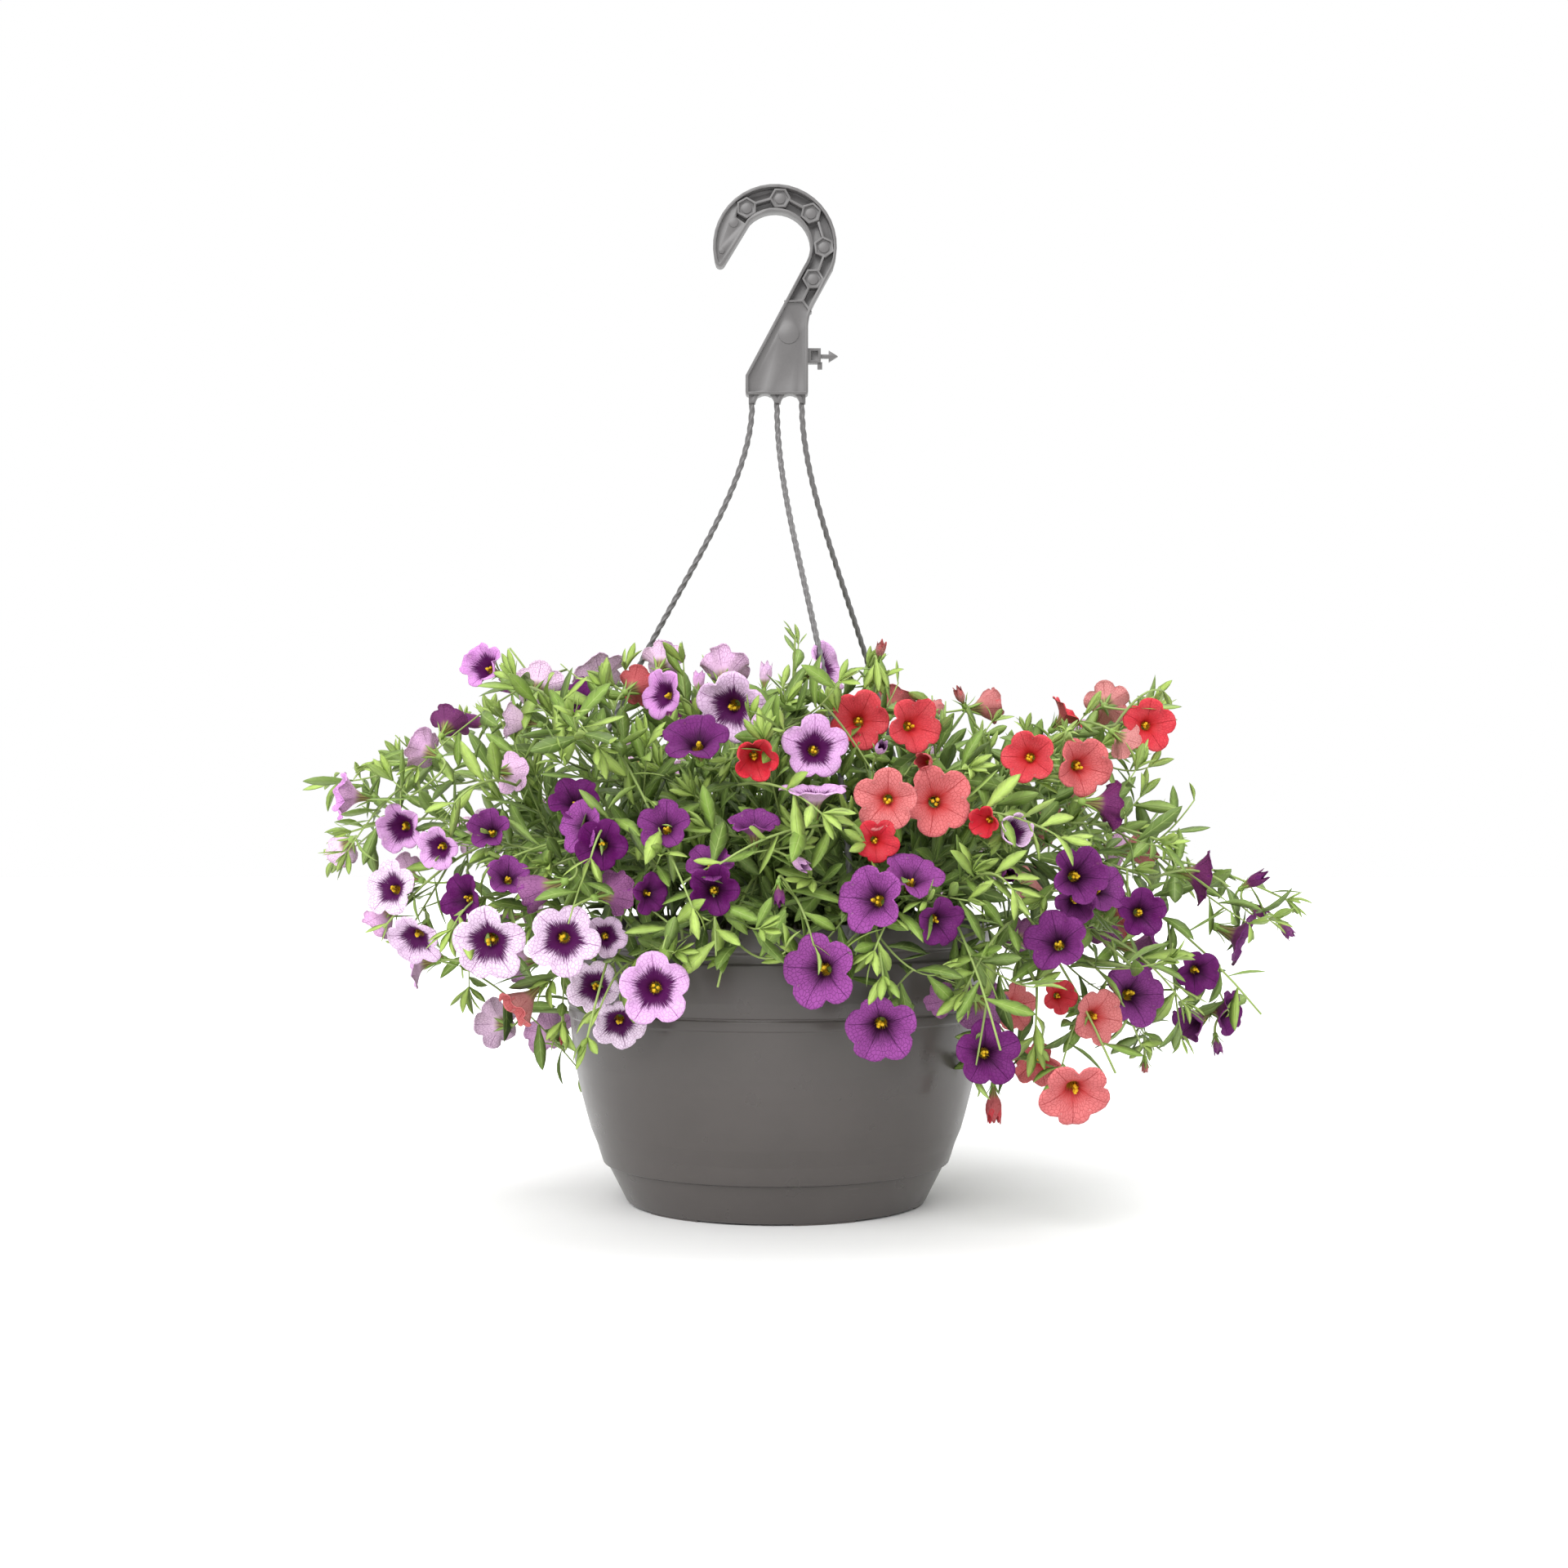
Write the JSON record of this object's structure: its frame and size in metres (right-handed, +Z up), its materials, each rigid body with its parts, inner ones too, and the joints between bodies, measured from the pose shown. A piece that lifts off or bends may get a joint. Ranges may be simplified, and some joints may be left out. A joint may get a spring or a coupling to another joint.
{
  "type": "calibrachoa hanging basket",
  "caption": "Plastic hanging pot with a hook and twisted strands, planted with trailing calibrachoa in pink, violet and coral.",
  "frame": {"origin": "the seat of the hook: the top of the inside of its eye, where it hangs; the pot's base is below it", "axes": "+Z up along the pot's axis, the hook's flat face and the label holder seen from -Y, +X to the right of that view"},
  "size_m": [0.6277, 0.445, 0.6421],
  "materials": {
    "pot_plastic": "satin",
    "hanger_plastic": "satin",
    "mix": "matte",
    "foliage": "satin",
    "petal_pink": "matte",
    "petal_violet": "matte",
    "petal_coral": "matte"
  },
  "bodies": {
    "root": {"pot": "pot_plastic", "saucer": "pot_plastic", "potting_mix": "mix", "hanger_hook": "hanger_plastic", "strand_left": "hanger_plastic", "strand_front": "hanger_plastic", "strand_right": "hanger_plastic", "shoot_pink_1": "foliage", "shoot_pink_2": "foliage", "shoot_pink_3": "foliage", "shoot_pink_4": "foliage", "shoot_pink_5": "foliage", "shoot_pink_6": "foliage", "shoot_pink_7": "foliage", "shoot_pink_8": "foliage", "shoot_pink_9": "foliage", "shoot_violet_1": "foliage", "shoot_violet_2": "foliage", "shoot_violet_3": "foliage", "shoot_violet_4": "foliage", "shoot_violet_5": "foliage", "shoot_violet_6": "foliage", "shoot_violet_7": "foliage", "shoot_violet_8": "foliage", "shoot_violet_9": "foliage", "shoot_coral_1": "foliage", "shoot_coral_2": "foliage", "shoot_coral_3": "foliage", "shoot_coral_4": "foliage", "shoot_coral_5": "foliage", "shoot_coral_6": "foliage", "shoot_coral_7": "foliage", "shoot_coral_8": "foliage", "shoot_coral_9": "foliage", "shoot_coral_10": "foliage", "flower_pink_1": "petal_pink", "flower_violet_1": "petal_violet", "flower_pink_2": "petal_pink", "flower_pink_3": "petal_pink", "flower_violet_2": "petal_violet", "flower_pink_4": "petal_pink", "flower_pink_5": "petal_pink", "flower_pink_6": "petal_pink", "flower_violet_3": "petal_violet", "flower_violet_4": "petal_violet", "flower_pink_7": "petal_pink", "flower_pink_8": "petal_pink", "flower_coral_1": "petal_coral", "flower_coral_2": "petal_coral", "flower_coral_3": "petal_coral", "flower_violet_5": "petal_violet", "flower_violet_6": "petal_violet", "flower_violet_7": "petal_violet", "flower_violet_8": "petal_violet", "flower_coral_4": "petal_coral", "flower_violet_9": "petal_violet", "flower_pink_9": "petal_pink", "flower_pink_10": "petal_pink", "flower_coral_5": "petal_coral", "flower_coral_6": "petal_coral"}
  },
  "joints": []
}
